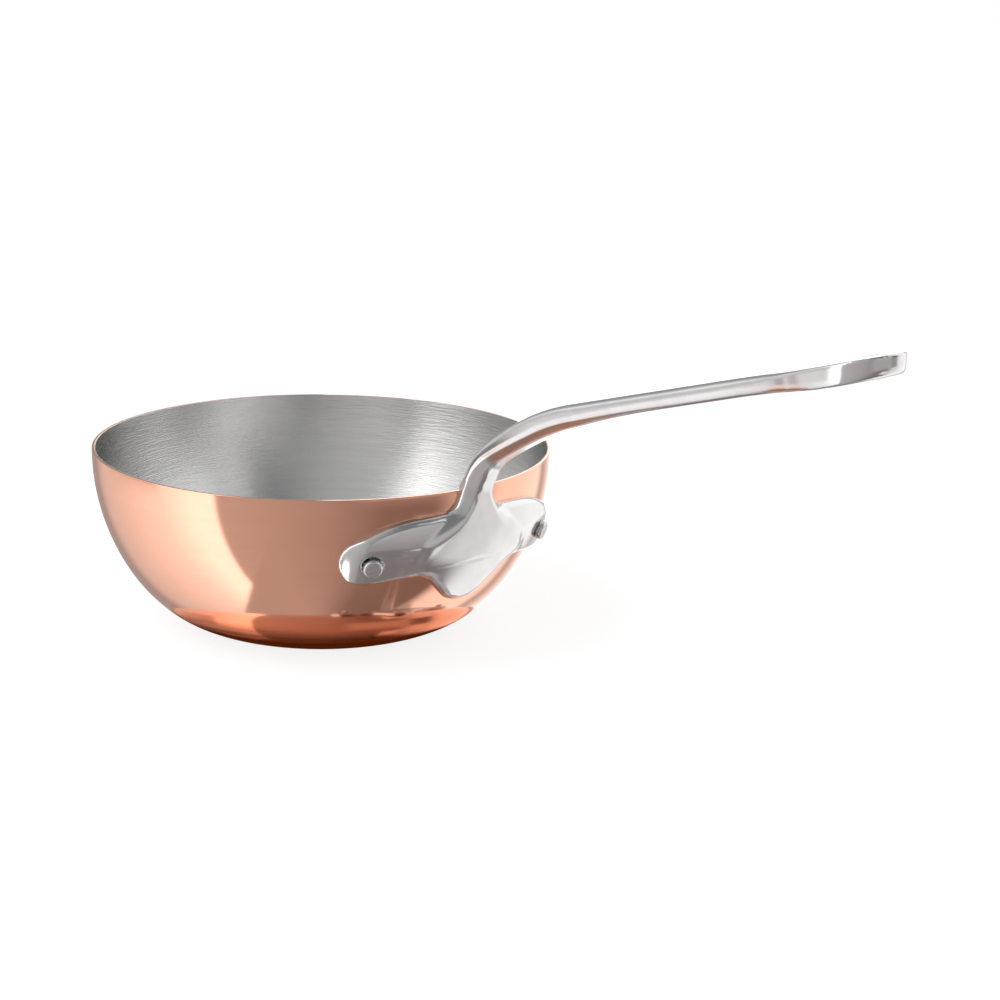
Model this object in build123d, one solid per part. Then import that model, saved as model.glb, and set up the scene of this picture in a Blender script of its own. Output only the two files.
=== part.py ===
"""Saucier pan: a copper bowl with a thin steel lining and a cast handle held by two rivets.

Millimetres, +Z up. The origin is the centre of the flat base, on the surface that the pan stands
on. The handle points along +X, and Y runs across it.
"""
from build123d import *
from math import acos, asin, atan2, cos, radians, sin, tan
import os

# Bowl
rim_radius = 100.0  # outside, at the mouth
pan_height = 77.0  # flat base to rim
copper_wall = 1.3
lining_wall = 0.2
rim_edge_radius = 0.35
# From the rim down the wall rounds in through four arcs. The angles are between wall and table.
wall_turns = (90.0, 59.0, 40.0, 17.0, 0.0)
wall_radius_shares = (1.234, 0.909, 0.52, 0.195)  # of the pan height

# Rivets
rivet_depth = 26.3  # below the rim, on the wall
rivet_turn = 26.7  # to each side of the handle
shank_radius = 3.5
hole_clearance = 0.1
tail_radius = 3.9
tail_height = 2.9
tail_bevel = 0.9
head_radius = 6.0
head_height = 2.2
seat_radius = 4.7  # flat seat sunk round the tail
seat_depth = 0.8

# Bracket plate that hugs the wall. Its outline is measured from the rivet.
lug_radius = 9.8
lug_shift = 2.8  # centre of the lug, out from the rivet
plate_thickness = 5.2  # at the ridge
plate_top_thickness = 2.6
plate_bottom_thickness = 4.2
crest_depth = 7.6  # where the plate is at its thinnest, below the rim
ridge_depth = 20.0
arm_slope = 33.0  # climb of the arm's top edge as it leaves the lug
arm_top_rise = 18.4  # level top of the arms
arm_bottom_slope = 7.0
arm_bottom_drop = 8.0  # level bottom of the arms
tongue_depth = 48.4
tongue_radius = 15.0
tongue_cove_radius = 11.0
tongue_slope = 45.0  # of its sides, from level
edge_height = 1.7  # square part of the plate's edge, beside the wall
edge_bevel_angle = 40.0  # of the slope above it, from the wall's normal

# Shield, on the wall below the neck
shield_thickness = 5.8
shield_foot_thickness = 4.6  # its foot runs out under the plate's face
shield_foot_depth = 33.5  # below the rim
shield_half_width = 25.0
shield_face_radius = 150.0  # of the slight bow across its face
shield_foot_face_radius = 92.0
shield_bevel = 1.1  # at the edge of its face
flare_bevel = 2.4  # the same edge where the shield narrows into the neck
# Depth, half-width, and shares of the foot and of the flare, from the foot up to the rim.
shield_shares = (
    (1.0, 0.93, 1.0, 0.0),
    (0.86, 1.0, 0.0, 0.0),
    (0.68, 0.915, 0.0, 0.2),
    (0.49, 0.72, 0.0, 0.6),
    (0.29, 0.5, 0.0, 0.9),
    (0.1, 0.355, 0.0, 1.0),
)

# Neck and grip: one bar, measured at its root on the rim, at the belly of the neck, along the
# grip and at the paddle
handle_reach = 303.0  # pan axis to the tip
neck_start_angle = 80.0  # of the back of the neck as it leaves the rim
neck_mid_angle = 39.5
neck_back_radius = 37.0
neck_sweep_radius = 123.0
grip_angle = 16.25
root_half_width = 8.4
belly_half_width = 7.6
grip_half_width = 7.3
paddle_half_width = 16.0
root_thickness = 7.2
belly_thickness = 10.3
grip_thickness = 7.8
paddle_thickness = 10.0
root_crown = 1.4  # rise of the rounded back over the sides
belly_crown = 2.8
grip_crown = 3.0
paddle_crown = 2.2
root_bevel = 3.2  # between the sides and the narrower under face
belly_bevel = 3.2
grip_bevel = 2.0
paddle_bevel = 1.0
under_bow = 0.3  # of the under face, from its middle to its edges
shoulder_share = 0.8  # point where the crowned back turns down, of the half-width
shoulder_drop_share = 0.3  # and of the crown
# Place along the bar, and shares of root, belly and paddle; what is left is grip.
bar_shares = (
    (0.03, 1.0, 0.1, 0.0),
    (0.065, 0.85, 0.2, 0.0),
    (0.105, 0.5, 0.5, 0.0),
    (0.15, 0.2, 0.85, 0.0),
    (0.2, 0.0, 1.0, 0.0),
    (0.26, 0.0, 1.0, 0.0),
    (0.33, 0.0, 0.78, 0.0),
    (0.41, 0.0, 0.3, 0.0),
    (0.49, 0.0, 0.05, 0.0),
    (0.57, 0.0, 0.0, 0.0),
    (0.65, 0.0, 0.0, 0.0),
    (0.72, 0.0, 0.0, 0.02),
    (0.78, 0.0, 0.0, 0.17),
    (0.83, 0.0, 0.0, 0.5),
    (0.88, 0.0, 0.0, 0.84),
    (0.93, 0.0, 0.0, 0.99),
)
under_taper = 2.6  # rise of the paddle's under face towards the tip
taper_start_share = 0.8  # where that starts, along the bar
tip_length = 18.0  # the tip is half an ellipse in plan
tip_spread = 0.4  # how far the ellipse stands past the sides
hang_hole_length = 18.0
hang_hole_width = 8.0
hang_hole_inset = 7.0  # tip to the hole's edge

overrun = 5.0  # how far a cutting solid runs past what it cuts


def wall_radii():
    return [share * pan_height for share in wall_radius_shares]


def rim_land():
    """Height of the straight band at the rim: what the arcs leave of the pan's height."""
    drops = [
        radius * (cos(radians(low)) - cos(radians(high)))
        for radius, high, low in zip(wall_radii(), wall_turns, wall_turns[1:])
    ]
    return pan_height - sum(drops)


def wall_arcs():
    """Centre, radius, start angle and end angle of each arc of the outer wall, rim first."""
    arcs = []
    x, z = rim_radius, pan_height - rim_land()
    for radius, high, low in zip(wall_radii(), wall_turns, wall_turns[1:]):
        centre = (x - radius * sin(radians(high)), z + radius * cos(radians(high)))
        arcs.append((centre, radius, high, low))
        x = centre[0] + radius * sin(radians(low))
        z = centre[1] - radius * cos(radians(low))
    return arcs


def wall_spot(depth, offset=0.0):
    """Point of the outer wall at a depth below the rim, moved out along the wall's normal.

    Gives x, z and the wall's angle to the table.
    """
    if depth <= rim_land():
        return rim_radius + offset, pan_height - depth, wall_turns[0]
    for centre, radius, high, low in wall_arcs():
        share = (centre[1] - pan_height + depth) / radius
        if share <= cos(radians(low)):
            angle = acos(share)
            reach = radius + offset
            return centre[0] + reach * sin(angle), centre[1] - reach * cos(angle), angle / radians(1)
    return centre[0], -offset, wall_turns[-1]


def wall_line(offset):
    """The wall's line in the XZ plane, from the rim to the axis, set in by an offset."""
    x = rim_radius - offset
    edges = [Line((x, pan_height), (x, pan_height - rim_land()))]
    for centre, radius, high, low in wall_arcs():
        edges.append(CenterArc(centre, radius - offset, high - 90, low - high))
    edges.append(Line(edges[-1] @ 1, (0, offset)))
    return edges


def bowl_layer(outer_offset, inner_offset):
    outer = wall_line(outer_offset)
    inner = wall_line(inner_offset)
    edges = outer + inner
    edges.append(Line(outer[0] @ 0, inner[0] @ 0))
    edges.append(Line(outer[-1] @ 1, inner[-1] @ 1))
    return revolve(Plane.XZ * make_face(edges), Axis.Z)


def bowl_block():
    """The bowl's outer form as a full solid, carried up past the rim, for cutting the handle's seat."""
    outer = wall_line(0)
    top = pan_height + 2 * overrun
    lid = Polyline(outer[0] @ 0, (rim_radius, top), (0, top), outer[-1] @ 1)
    return revolve(Plane.XZ * make_face(outer + [lid]), Axis.Z)


def rivet_plane(side):
    """Plane on the outer wall at a rivet: Z leaves the wall, Y climbs it. side is -1 or 1."""
    x, z, angle = wall_spot(rivet_depth)
    normal = Vector(sin(radians(angle)), 0, -cos(radians(angle)))
    ahead = Plane(origin=(x, 0, z), x_dir=(0, 1, 0), z_dir=normal)
    return Plane(Location((0, 0, 0), (0, 0, side * rivet_turn)) * ahead.location)


def rivet_holes():
    """Bores for both shanks, through handle, copper and lining."""
    reach = 2 * (plate_thickness + overrun)
    bore = Cylinder(shank_radius + hole_clearance, reach)
    return [rivet_plane(side).location * bore for side in (-1, 1)]


def copper_shell():
    shell = bowl_layer(0, copper_wall)
    rim = shell.edges().filter_by(GeomType.CIRCLE).group_by(Axis.Z)[-1].sort_by(SortBy.RADIUS)[-1]
    shell = fillet(rim, rim_edge_radius)
    return shell - rivet_holes()


def steel_lining():
    return bowl_layer(copper_wall, copper_wall + lining_wall) - rivet_holes()


def rivet(side):
    """Factory head inside the bowl, shank through the wall, and the bevelled tail on the lug."""
    wall = copper_wall + lining_wall
    seat = plate_thickness - seat_depth
    tail_top = seat + tail_height
    wall += head_radius**2 / (2 * (wall_radii()[0] - wall))  # the head bears at its edge
    dome_radius = (head_radius**2 + head_height**2) / (2 * head_height)
    dome_angle = asin(head_radius / dome_radius) / radians(1)
    dome_centre = (0, dome_radius - wall - head_height)
    outline = Polyline(
        (0, -wall - head_height),
        (0, tail_top),
        (tail_radius - tail_bevel, tail_top),
        (tail_radius, tail_top - tail_bevel),
        (tail_radius, seat),
        (shank_radius, seat),
        (shank_radius, -wall),
        (head_radius, -wall),
    )
    dome = CenterArc(dome_centre, dome_radius, -90, dome_angle)
    body = revolve(Plane.XZ * make_face([outline, dome]), Axis.Z)
    return rivet_plane(side).location * body


def heading(angle):
    """Unit vector of the XZ plane, at an angle above level."""
    return Vector(cos(radians(angle)), sin(radians(angle)))


def neck_back():
    """Upper line of neck and grip in the side view, from the rim to past the tip."""
    steep = JernArc((rim_radius, pan_height), heading(neck_start_angle), neck_back_radius,
                    neck_mid_angle - neck_start_angle)
    sweep = JernArc(steep @ 1, steep % 1, neck_sweep_radius, grip_angle - neck_mid_angle)
    start = sweep @ 1
    length = (handle_reach + overrun - start.X) / cos(radians(grip_angle))
    return Wire([steep, sweep, Line(start, start + heading(grip_angle) * length)])


def bar_section(plane, half_width, depth, crown, bevel, bow):
    """Section of the bar: crowned back, flat sides, and bevels down to the bowed under face.

    The plane's origin is on the back line, its X runs across and its Y goes back out of the metal.
    """
    foot = half_width - bevel
    edge = bow - depth
    sill = edge + bevel
    right = (half_width, -crown)
    left = (-half_width, -crown)
    haunch = (shoulder_share * half_width, -shoulder_drop_share * crown)
    top = Spline(right, haunch, (0, 0), (-haunch[0], haunch[1]), left, tangents=((0, 1), (0, -1)))
    edges = [
        top,
        Line(left, (-half_width, sill)),
        Line((-half_width, sill), (-foot, edge)),
        ThreePointArc((-foot, edge), (0, -depth), (foot, edge)),
        Line((foot, edge), (half_width, sill)),
        Line((half_width, sill), right),
    ]
    return plane * make_face(edges)


def section_plane(x, z, angle):
    """Plane square to the bar where it runs at an angle above level."""
    along = Vector(cos(radians(angle)), 0, sin(radians(angle)))
    return Plane(origin=(x, 0, z), x_dir=(0, 1, 0), z_dir=along)


def shield_sections():
    sections = []
    for depth_share, width_share, foot_share, flare_share in shield_shares:
        x, z, angle = wall_spot(depth_share * shield_foot_depth, -overrun)
        plane = section_plane(x, z, angle)
        bevel = shield_bevel + flare_share * (flare_bevel - shield_bevel)
        half_width = width_share * shield_half_width
        thickness = shield_thickness + foot_share * (shield_foot_thickness - shield_thickness)
        face_radius = shield_face_radius + foot_share * (shield_foot_face_radius - shield_face_radius)
        bow = (half_width - bevel) ** 2 / (2 * face_radius)
        sections.append(bar_section(plane, half_width, overrun + thickness, overrun / 2, bevel, bow))
    return sections


def blend(shares, root, belly, grip, paddle):
    sizes = (root, belly, paddle)
    return grip + sum(share * (size - grip) for share, size in zip(shares, sizes))


def bar_sections():
    """Sections along the back line, from the rim to past the tip."""
    back = neck_back()
    tip = back.length - overrun / cos(radians(grip_angle))
    stations = list(bar_shares)
    stations.append((back.length / tip, *bar_shares[-1][1:]))
    sections = []
    for place_share, *shares in stations:
        place = min(place_share * tip / back.length, 1)
        spot, way = back @ place, back % place
        thickness = blend(shares, root_thickness, belly_thickness, grip_thickness, paddle_thickness)
        tapered = max(place_share - taper_start_share, 0) * tip
        sections.append(bar_section(
            section_plane(spot.X, spot.Y, atan2(way.Y, way.X) / radians(1)),
            blend(shares, root_half_width, belly_half_width, grip_half_width, paddle_half_width),
            thickness - tapered * tan(radians(under_taper)),
            blend(shares, root_crown, belly_crown, grip_crown, paddle_crown),
            blend(shares, root_bevel, belly_bevel, grip_bevel, paddle_bevel),
            under_bow,
        ))
    return sections


def tip_corners():
    """What the round end of the paddle leaves out, in plan."""
    wide = 4 * paddle_half_width
    block = Rectangle(2 * tip_length, wide, align=(Align.MIN, Align.CENTER))
    outline = block - Ellipse(tip_length, paddle_half_width + tip_spread)
    return Pos(handle_reach - tip_length, 0, 0) * extrude(outline, handle_reach)


def spine():
    """Shield, neck and grip as one loft, rounded off at the tip in plan."""
    return loft(shield_sections() + bar_sections()) - tip_corners()


def hang_hole():
    """Long round-ended hole through the paddle, square to it."""
    back = neck_back()
    end = back @ 1
    plane = section_plane(end.X, end.Y, grip_angle + 90)
    middle = overrun / cos(radians(grip_angle)) + hang_hole_inset + hang_hole_length / 2
    slot = Rot(0, 0, 90) * SlotOverall(hang_hole_length, hang_hole_width)
    cutter = extrude(slot, grip_thickness + overrun, both=True)
    return plane.location * Pos(0, middle, 0) * cutter


def crown_ring():
    """Ring round the bowl whose outside is the bracket's crowned surface."""
    crest = wall_spot(0, plate_top_thickness / 2)
    shoulder = wall_spot((crest_depth + ridge_depth) / 2, (plate_top_thickness + plate_thickness) / 2)
    ridge = wall_spot(ridge_depth, plate_thickness)
    belly = wall_spot((ridge_depth + tongue_depth) / 2, (plate_thickness + plate_bottom_thickness) / 2)
    foot = wall_spot(tongue_depth + overrun, plate_bottom_thickness)
    upper = ThreePointArc(crest[:2], shoulder[:2], ridge[:2])
    lower = ThreePointArc(ridge[:2], belly[:2], foot[:2])
    inner_foot = (foot[0] - 2 * overrun, foot[1])
    inner_crest = (inner_foot[0], crest[1])
    edges = [upper, lower, Polyline(foot[:2], inner_foot, inner_crest, crest[:2])]
    return revolve(Plane.XZ * make_face(edges), Axis.Z)


def bevelled(outline):
    """Blank on a plane of the wall: square at the edge, then sloped in."""
    rise = plate_thickness + overrun / 2 - edge_height
    square = Pos(0, 0, -2 * overrun) * extrude(outline, 2 * overrun + edge_height)
    return square + Pos(0, 0, edge_height) * extrude(outline, rise, taper=edge_bevel_angle)


def arm():
    """Left arm with its lug, on the rivet's plane: X runs in towards the neck, Y climbs the wall."""
    centre = (-lug_shift, 0)
    inner = rim_radius * sin(radians(rivet_turn)) + 2 * overrun
    leave_top = lug_radius * heading(arm_slope + 90) + Vector(*centre)
    top_radius = (arm_top_rise - leave_top.Y) / (1 - cos(radians(arm_slope)))
    top = JernArc(leave_top, heading(arm_slope), top_radius, -arm_slope)
    leave_bottom = lug_radius * heading(arm_bottom_slope - 90) + Vector(*centre)
    run = (-arm_bottom_drop - leave_bottom.Y) / tan(radians(arm_bottom_slope))
    rest = Polyline(
        top @ 1,
        (inner, arm_top_rise),
        (inner, -arm_bottom_drop),
        (leave_bottom.X + run, -arm_bottom_drop),
        leave_bottom,
    )
    lug = CenterArc(centre, lug_radius, arm_slope + 90, 180 - arm_slope + arm_bottom_slope)
    outline = make_face([top, rest, lug])
    return rivet_plane(-1).location * bevelled(outline)


def tongue():
    """Foot of the shield's plate, with coves up to the arms, on a plane square to the wall."""
    x, z, angle = wall_spot(rivet_depth + arm_bottom_drop)
    normal = (sin(radians(angle)), 0, -cos(radians(angle)))
    plane = Plane(origin=(x, 0, z), x_dir=(0, 1, 0), z_dir=normal)
    x, z, angle = wall_spot(tongue_depth)
    foot = plane.to_local_coords(Vector(x, 0, z)).Y
    slope = radians(tongue_slope)
    point = foot - tongue_radius * (1 / cos(slope) - 1)
    half = -point / tan(slope)
    wide = half + tongue_cove_radius
    sides = FilletPolyline(
        (-wide, 0),
        (-half, 0),
        (0, point),
        (half, 0),
        (wide, 0),
        radius=[tongue_cove_radius, tongue_radius, tongue_cove_radius],
    )
    rest = Polyline((wide, 0), (wide, lug_radius), (-wide, lug_radius), (-wide, 0))
    return plane.location * bevelled(make_face([sides, rest]))


def plate():
    """Bracket plate: two arms and a tongue, as thick as the crowned ring leaves them."""
    left = arm()
    blank = left + mirror(left, about=Plane.XZ) + tongue()
    return blank & crown_ring()


def rivet_seats():
    seat = Cylinder(seat_radius, overrun, align=(Align.CENTER, Align.CENTER, Align.MIN))
    lift = Pos(0, 0, plate_thickness - seat_depth)
    return [rivet_plane(side).location * lift * seat for side in (-1, 1)]


def handle():
    """The casting: spine and plate in one, fitted to the bowl and bored for its rivets."""
    casting = spine() + plate()
    return casting - bowl_block() - hang_hole() - rivet_holes() - rivet_seats()


parts = {
    "copper_shell": copper_shell,
    "steel_lining": steel_lining,
    "handle": handle,
    "rivet_left": lambda: rivet(-1),
    "rivet_right": lambda: rivet(1),
}

os.makedirs("parts", exist_ok=True)
for name, make in parts.items():
    export_step(make(), f"parts/{name}.step")
    print(name, "done")
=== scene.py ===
import bpy
import math
import numpy as np
from itertools import product
from mathutils import Matrix, Vector


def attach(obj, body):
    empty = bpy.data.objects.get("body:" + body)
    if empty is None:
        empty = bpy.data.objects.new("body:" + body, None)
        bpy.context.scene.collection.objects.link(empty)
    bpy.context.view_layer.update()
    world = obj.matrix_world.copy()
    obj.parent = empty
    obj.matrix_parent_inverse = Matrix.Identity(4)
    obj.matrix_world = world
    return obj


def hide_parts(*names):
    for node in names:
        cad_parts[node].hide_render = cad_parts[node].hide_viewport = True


# Saucier pan: copper bowl, steel lining, cast handle and its two rivets.
# Lengths are in millimetres until a mesh is made, angles in degrees.
mm = 0.001
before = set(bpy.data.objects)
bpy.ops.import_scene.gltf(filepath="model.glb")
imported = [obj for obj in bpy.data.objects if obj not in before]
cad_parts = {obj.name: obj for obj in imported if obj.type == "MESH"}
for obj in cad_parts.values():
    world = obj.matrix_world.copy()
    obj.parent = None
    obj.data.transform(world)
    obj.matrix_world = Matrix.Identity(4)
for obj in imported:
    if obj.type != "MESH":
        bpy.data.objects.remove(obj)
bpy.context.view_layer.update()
scene = bpy.context.scene
print("frame loaded:", ", ".join(sorted(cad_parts)))


# Camera, as the photograph was taken

shot = {
    "place": (693.0, -535.0, 285.6),
    "azimuth": 52.33,  # direction of view, from +Y towards -X
    "elevation": 13.40,
    "swing": 4.951,  # aimed this far past the pan, to the right
    "drop": 1.6246,  # and this far down
    "roll": 0.171,
    "lens": 73.39,
    "sensor": 36.0,
    "nearClip": 0.01,  # metres
}


# First and second unit vector, turned in their own plane
def turned(first, second, angle):
    c, s = math.cos(math.radians(angle)), math.sin(math.radians(angle))
    return first * c + second * s, second * c - first * s


def makeCamera():
    a, e = math.radians(shot["azimuth"]), math.radians(shot["elevation"])
    level = Vector((-math.sin(a), math.cos(a), 0))
    right = Vector((math.cos(a), math.sin(a), 0))
    ahead = level * math.cos(e) - Vector((0, 0, math.sin(e)))
    up = right.cross(ahead)
    ahead, right = turned(ahead, right, shot["swing"])
    ahead, up = turned(ahead, up, -shot["drop"])
    right, up = turned(right, up, shot["roll"])
    camera = bpy.data.objects.new("camera", bpy.data.cameras.new("camera"))
    camera.data.lens = shot["lens"]
    camera.data.sensor_width = shot["sensor"]
    camera.data.clip_start = shot["nearClip"]
    camera.matrix_world = Matrix((
        (right.x, up.x, -ahead.x, shot["place"][0] * mm),
        (right.y, up.y, -ahead.y, shot["place"][1] * mm),
        (right.z, up.z, -ahead.z, shot["place"][2] * mm),
        (0, 0, 0, 1),
    ))
    scene.collection.objects.link(camera)
    scene.camera = camera


makeCamera()
print("camera placed")


# Small helpers for node trees

def addNode(tree, kind, spot=(0, 0), inputs=None, **settings):
    node = tree.nodes.new(kind)
    node.location = (spot[0] * 200, spot[1] * 200)
    for key, value in settings.items():
        setattr(node, key, value)
    for key, value in (inputs or {}).items():
        if isinstance(value, bpy.types.NodeSocket):
            tree.links.new(value, node.inputs[key])
        else:
            node.inputs[key].default_value = value
    return node


def addMath(tree, operation, first, second=0.0, spot=(0, 0)):
    return addNode(tree, "ShaderNodeMath", spot, {0: first, 1: second}, operation=operation).outputs[0]


def newGroup(name, kind, inputs, outputs):
    tree = bpy.data.node_groups.new(name, kind)
    for label, socketType, value in inputs:
        socket = tree.interface.new_socket(label, in_out="INPUT", socket_type=socketType)
        if value is not None:
            socket.default_value = value
    for label, socketType in outputs:
        tree.interface.new_socket(label, in_out="OUTPUT", socket_type=socketType)
    return tree, tree.nodes.new("NodeGroupInput"), tree.nodes.new("NodeGroupOutput")


# Finishes

grain = {
    "fine": (2.0, 3.0),  # scale and detail of the polish lines
    "broad": (0.35, 4.0),  # and of the streaks that gather them
    "cloud": (6.0, 0.6),  # detail and roughness
    "cloudSpan": (0.3, 0.7),  # the part of the cloud's noise that is spread from Low to High
    "mottle": 2.5,  # how strongly cloud and streak blend a finish's two colours
    "lineHeight": 0.0003,  # metres
    "shineTurn": 0.25,  # of a full turn, so that the shine spreads across the lines
}


# Fine lines left by a spinning polish: they run round the Z axis
def polishLinesGroup():
    tree, given, result = newGroup(
        "polishLines", "ShaderNodeTree",
        [("Lines", "NodeSocketFloat", 900.0), ("Run", "NodeSocketFloat", 3.0)],
        [("Height", "NodeSocketFloat"), ("Streak", "NodeSocketFloat")],
    )
    place = addNode(tree, "ShaderNodeTexCoord", (-7, 0)).outputs["Object"]
    flat = addNode(tree, "ShaderNodeVectorMath", (-6, 1), {0: place, 1: (1, 1, 0)}, operation="MULTIPLY")
    reach = addNode(tree, "ShaderNodeVectorMath", (-5, 1), {0: flat.outputs[0]}, operation="LENGTH")
    height = addNode(tree, "ShaderNodeSeparateXYZ", (-6, 0), {0: place})
    along = addMath(tree, "ADD", reach.outputs["Value"], height.outputs[2], (-4, 1))
    line = addMath(tree, "MULTIPLY", along, given.outputs["Lines"], (-3, 1))
    rise = addNode(tree, "ShaderNodeCombineXYZ", (-2, 1), {2: line})
    heading = addNode(tree, "ShaderNodeVectorMath", (-5, 0), {0: flat.outputs[0]}, operation="NORMALIZE")
    run = addNode(tree, "ShaderNodeVectorMath", (-3, 0), {
        0: heading.outputs[0], "Scale": given.outputs["Run"]}, operation="SCALE")
    vector = addNode(tree, "ShaderNodeVectorMath", (-1, 0), {
        0: rise.outputs[0], 1: run.outputs[0]}, operation="ADD").outputs[0]
    for key, output, row in (("fine", "Height", 1), ("broad", "Streak", -1)):
        scale, detail = grain[key]
        noise = addNode(tree, "ShaderNodeTexNoise", (0, row), {
            "Vector": vector, "Scale": scale, "Detail": detail})
        tree.links.new(noise.outputs[0], result.inputs[output])
    return tree


# Cloudy change over a surface that is handled and wiped: a value between Low and High
def handledGroup():
    tree, given, result = newGroup(
        "handled", "ShaderNodeTree",
        [("Size", "NodeSocketFloat", 30.0), ("Low", "NodeSocketFloat", 0.1),
         ("High", "NodeSocketFloat", 0.2)],
        [("Value", "NodeSocketFloat"), ("Cloud", "NodeSocketFloat")],
    )
    place = addNode(tree, "ShaderNodeTexCoord", (-3, 0)).outputs["Object"]
    detail, roughness = grain["cloud"]
    cloud = addNode(tree, "ShaderNodeTexNoise", (-2, 0), {
        "Vector": place, "Scale": given.outputs["Size"], "Detail": detail, "Roughness": roughness})
    spread = addNode(tree, "ShaderNodeMapRange", (-1, 0), {
        "Value": cloud.outputs[0], "From Min": grain["cloudSpan"][0], "From Max": grain["cloudSpan"][1],
        "To Min": given.outputs["Low"], "To Max": given.outputs["High"]})
    tree.links.new(spread.outputs[0], result.inputs["Value"])
    tree.links.new(cloud.outputs[0], result.inputs["Cloud"])
    return tree


polishLines = polishLinesGroup()
handled = handledGroup()

finishes = {
    "copper": {
        "colours": ((0.92, 0.515, 0.375), (0.89, 0.475, 0.335)),
        "cloudSize": 22.0, "roughness": (0.055, 0.11),
        "lines": 700.0, "run": 6.0, "lineDepth": 0.012, "anisotropic": 0.0,
    },
    "liningSteel": {
        "colours": ((0.76, 0.755, 0.75), (0.70, 0.695, 0.69)),
        "cloudSize": 16.0, "roughness": (0.19, 0.24),
        "lines": 900.0, "run": 5.0, "lineDepth": 0.5, "anisotropic": 1.0,
    },
    "castSteel": {
        "colours": ((0.74, 0.74, 0.745), (0.66, 0.66, 0.67)),
        "cloudSize": 40.0, "roughness": (0.11, 0.19),
        "lines": 350.0, "run": 40.0, "lineDepth": 0.02, "anisotropic": 0.0,
    },
    "rivetSteel": {
        "colours": ((0.72, 0.72, 0.72), (0.60, 0.60, 0.61)),
        "cloudSize": 220.0, "roughness": (0.22, 0.36),
        "lines": 1600.0, "run": 60.0, "lineDepth": 0.06, "anisotropic": 0.0,
    },
}


def makeMetal(name):
    look = finishes[name]
    material = bpy.data.materials.new(name)
    material.use_nodes = True
    tree = material.node_tree
    tree.nodes.clear()
    lines = addNode(tree, "ShaderNodeGroup", (-4, 0), node_tree=polishLines)
    cloud = addNode(tree, "ShaderNodeGroup", (-4, 2), node_tree=handled)
    low, high = look["roughness"]
    for group, values in (
        (lines, {"Lines": look["lines"], "Run": look["run"]}),
        (cloud, {"Size": look["cloudSize"], "Low": low, "High": high}),
    ):
        for key, value in values.items():
            group.inputs[key].default_value = value
    share = addMath(tree, "MULTIPLY", cloud.outputs["Cloud"], lines.outputs["Streak"], (-3, 3))
    blend = addMath(tree, "MULTIPLY", share, grain["mottle"], (-2, 3))
    first, second = look["colours"]
    tone = addNode(tree, "ShaderNodeMix", (-1, 2), data_type="RGBA")
    tone.inputs[6].default_value = (*first, 1)  # 6 and 7 are the two colours
    tone.inputs[7].default_value = (*second, 1)
    tree.links.new(blend, tone.inputs[0])
    bump = addNode(tree, "ShaderNodeBump", (-2, 0), {
        "Height": lines.outputs["Height"], "Strength": look["lineDepth"], "Distance": grain["lineHeight"]})
    metal = addNode(tree, "ShaderNodeBsdfPrincipled", (0, 0), {
        "Base Color": tone.outputs[2], "Metallic": 1.0,
        "Roughness": cloud.outputs["Value"], "Normal": bump.outputs[0]})
    if look["anisotropic"]:
        metal.inputs["Anisotropic"].default_value = look["anisotropic"]
        metal.inputs["Anisotropic Rotation"].default_value = grain["shineTurn"]
        tangent = addNode(tree, "ShaderNodeTangent", (-2, -2), direction_type="RADIAL", axis="Z")
        tree.links.new(tangent.outputs[0], metal.inputs["Tangent"])
    output = addNode(tree, "ShaderNodeOutputMaterial", (2, 0))
    tree.links.new(metal.outputs[0], output.inputs[0])
    return material


materials = {name: makeMetal(name) for name in finishes}
print("finishes made:", ", ".join(materials))


# The bowl's wall: a straight band at the rim, then four arcs in to the flat base

bowl = {
    "rimRadius": 100.0,
    "height": 77.0,
    "copperWall": 1.3,
    "liningWall": 0.2,
    "rimEdge": 0.35,
    "liningEdge": 0.08,
    "turns": (90.0, 59.0, 40.0, 17.0, 0.0),  # between wall and table
    "radiusShares": (1.234, 0.909, 0.52, 0.195),  # of the height
    "arcStep": 1.2,  # degrees of arc from one profile point to the next
    "cornerStep": 15,  # and round a rim edge
    "guardShare": 2.0,  # of the edge, from it to a second loop that keeps the shading tight
    "stepsAround": 288,
}


def wallRadii():
    return [share * bowl["height"] for share in bowl["radiusShares"]]


def rimLand():
    drops = [
        radius * (math.cos(math.radians(low)) - math.cos(math.radians(high)))
        for radius, high, low in zip(wallRadii(), bowl["turns"], bowl["turns"][1:])
    ]
    return bowl["height"] - sum(drops)


# Centre x, centre z, radius, start angle and end angle of each arc, rim first
def wallArcs():
    arcs = []
    x, z = bowl["rimRadius"], bowl["height"] - rimLand()
    for radius, high, low in zip(wallRadii(), bowl["turns"], bowl["turns"][1:]):
        cx = x - radius * math.sin(math.radians(high))
        cz = z + radius * math.cos(math.radians(high))
        arcs.append((cx, cz, radius, high, low))
        x = cx + radius * math.sin(math.radians(low))
        z = cz - radius * math.cos(math.radians(low))
    return arcs


# Point x, z at a depth below the rim, moved out along the wall's normal, and the wall's angle
def wallSpot(depth, offset=0.0):
    if depth <= rimLand():
        return bowl["rimRadius"] + offset, bowl["height"] - depth, bowl["turns"][0]
    for cx, cz, radius, _, low in wallArcs():
        share = (cz - bowl["height"] + depth) / radius
        if share <= math.cos(math.radians(low)):
            angle = math.acos(share)
            reach = radius + offset
            return cx + reach * math.sin(angle), cz - reach * math.cos(angle), math.degrees(angle)
    return cx, -offset, bowl["turns"][-1]


# Points down the wall from under the rim to the axis, set in by an offset
def wallLine(offset):
    points = []
    for cx, cz, radius, high, low in wallArcs():
        steps = math.ceil((high - low) / bowl["arcStep"])
        for step in range(steps):
            angle = math.radians(high + (low - high) * step / steps)
            points.append((
                cx + (radius - offset) * math.sin(angle), cz - (radius - offset) * math.cos(angle)))
    points.append((cx, offset))
    points.append((cx / 2, offset))
    points.append((0, offset))
    return points


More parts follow.
